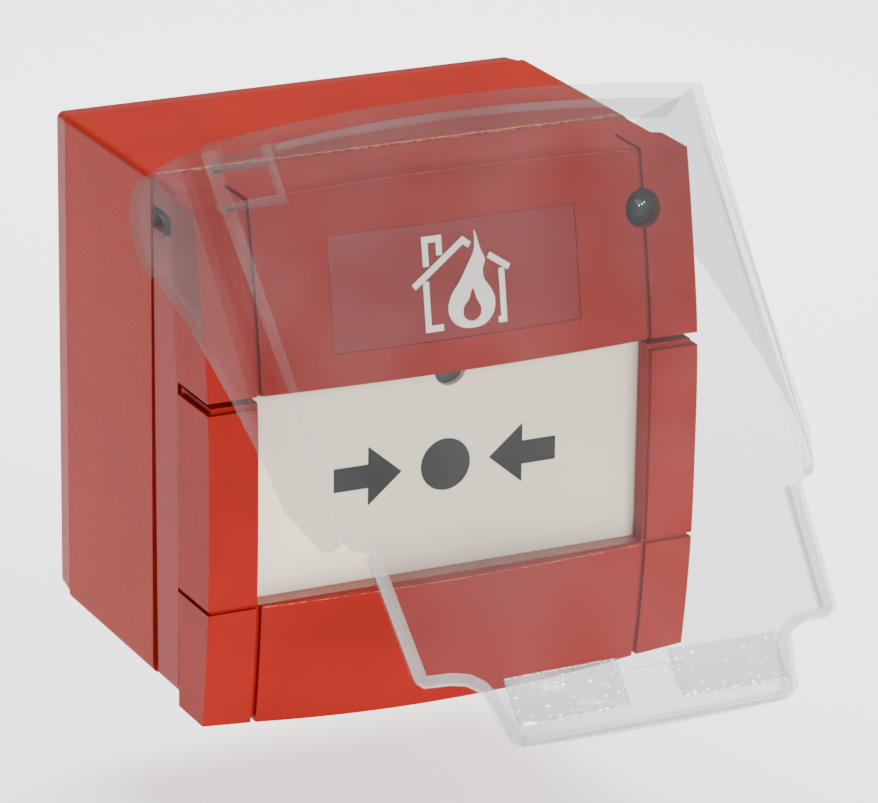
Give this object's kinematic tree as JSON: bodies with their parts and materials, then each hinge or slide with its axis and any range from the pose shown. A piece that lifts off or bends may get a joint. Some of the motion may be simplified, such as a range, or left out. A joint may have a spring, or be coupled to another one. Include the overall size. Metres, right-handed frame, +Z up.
{
  "type": "manual call point",
  "caption": "Surface-mounted red fire alarm call point with a clear hinged cover over a white press element.",
  "frame": {"origin": "centre of the mounting plate's rear face, on the wall", "axes": "+X to the viewer's right, +Y into the wall, +Z up; the user stands on the -Y side"},
  "size_m": [0.0932, 0.1397, 0.1046],
  "materials": {
    "red_plastic": "fine grain moulding",
    "red_plastic_front": "fine grain moulding",
    "red_plastic_box": "fine grain moulding",
    "red_plastic_rear": "fine grain moulding",
    "red_label": "smooth printed panel with a white pictogram",
    "white_plastic": "satin",
    "charcoal_print": "printed ink",
    "clear_cover": "clear moulded polycarbonate, stippled grip strip",
    "dark_lens": "gloss smoked lens",
    "dark_plastic": "moulded",
    "black_plastic": "moulded",
    "yellow_plastic": "moulded",
    "black_rubber": "foam strip",
    "green_board": "solder resist",
    "zinc_steel": "zinc plated",
    "spring_steel": "bright",
    "shield_steel": "tinned",
    "tinned_brass": "tinned",
    "black_epoxy": "moulded",
    "can_aluminium": "satin",
    "wire_sleeve": "extruded sleeve",
    "grey_ribbon": "flat cable",
    "cell_wrap": "shrink wrap",
    "led_epoxy": "diffused"
  },
  "bodies": {
    "base": {"mounting_plate": "red_plastic_rear", "back_box": "red_plastic_box", "box_screws": "zinc_steel", "seal": "black_rubber", "radio_board": "green_board", "radio_board_screws": "zinc_steel", "radio_module": "shield_steel", "control_chip": "black_epoxy", "capacitors": "can_aluminium", "antenna_wire": "wire_sleeve", "board_header": "black_plastic", "link_ribbon": "grey_ribbon", "battery_holder": "black_plastic", "battery_1": "cell_wrap", "battery_2": "cell_wrap", "battery_contacts": "spring_steel", "chassis": "red_plastic", "chassis_screws": "zinc_steel", "front_screws": "zinc_steel", "switch_board": "green_board", "switch_board_screws": "zinc_steel", "switch_body": "black_plastic", "switch_terminals": "tinned_brass", "status_led": "led_epoxy", "led_lens": "dark_lens", "hood": "red_plastic_front", "label_insert": "red_label", "front_frame": "red_plastic_front", "return_springs": "spring_steel"},
    "cover": {"hinged_cover": "clear_cover"},
    "element": {"operating_element": "white_plastic", "element_symbols": "charcoal_print", "element_carrier": "dark_plastic", "indicator_flag": "yellow_plastic"},
    "lever": {"switch_lever": "spring_steel"},
    "plunger": {"switch_plunger": "black_plastic"},
    "reset_key_barrel": {"reset_barrel": "black_plastic"},
    "reset_lock_slide": {"reset_slide": "black_plastic"}
  },
  "joints": [
    {"name": "cover_hinge", "type": "hinge", "parent": "base", "child": "cover", "pos_m": [0, -0.0486, 0.0368], "axis": [-1, 0, 0], "range_deg": [-42.5, 65]},
    {"name": "element_press", "type": "slide", "parent": "base", "child": "element", "axis": [0, 0.53, -0.848], "range_m": [0, 0.00472], "stiffness_N_per_m": 600, "springref_m": -0.001},
    {"name": "lever_turn", "type": "hinge", "parent": "base", "child": "lever", "pos_m": [-0.006, -0.05635, 0], "axis": [0, 0, 1], "range_deg": [0, 11.9]},
    {"name": "plunger_slide", "type": "slide", "parent": "base", "child": "plunger", "axis": [0, 1, 0], "range_m": [0, 0.0006]},
    {"name": "reset_turn", "type": "hinge", "parent": "base", "child": "reset_key_barrel", "pos_m": [0, -0.0592, -0.043], "axis": [0, 0, 1], "range_deg": [0, 90]},
    {"name": "reset_slide_move", "type": "slide", "parent": "base", "child": "reset_lock_slide", "axis": [1, 0, 0], "range_m": [0, 0.00283]}
  ],
  "couplings": [
    {"joint": "lever_turn", "follows": "element_press", "rad_per_m": 43.987},
    {"joint": "plunger_slide", "follows": "element_press", "ratio": 0.12707},
    {"joint": "reset_turn", "follows": "reset_slide_move", "rad_per_m": 554.81}
  ]
}
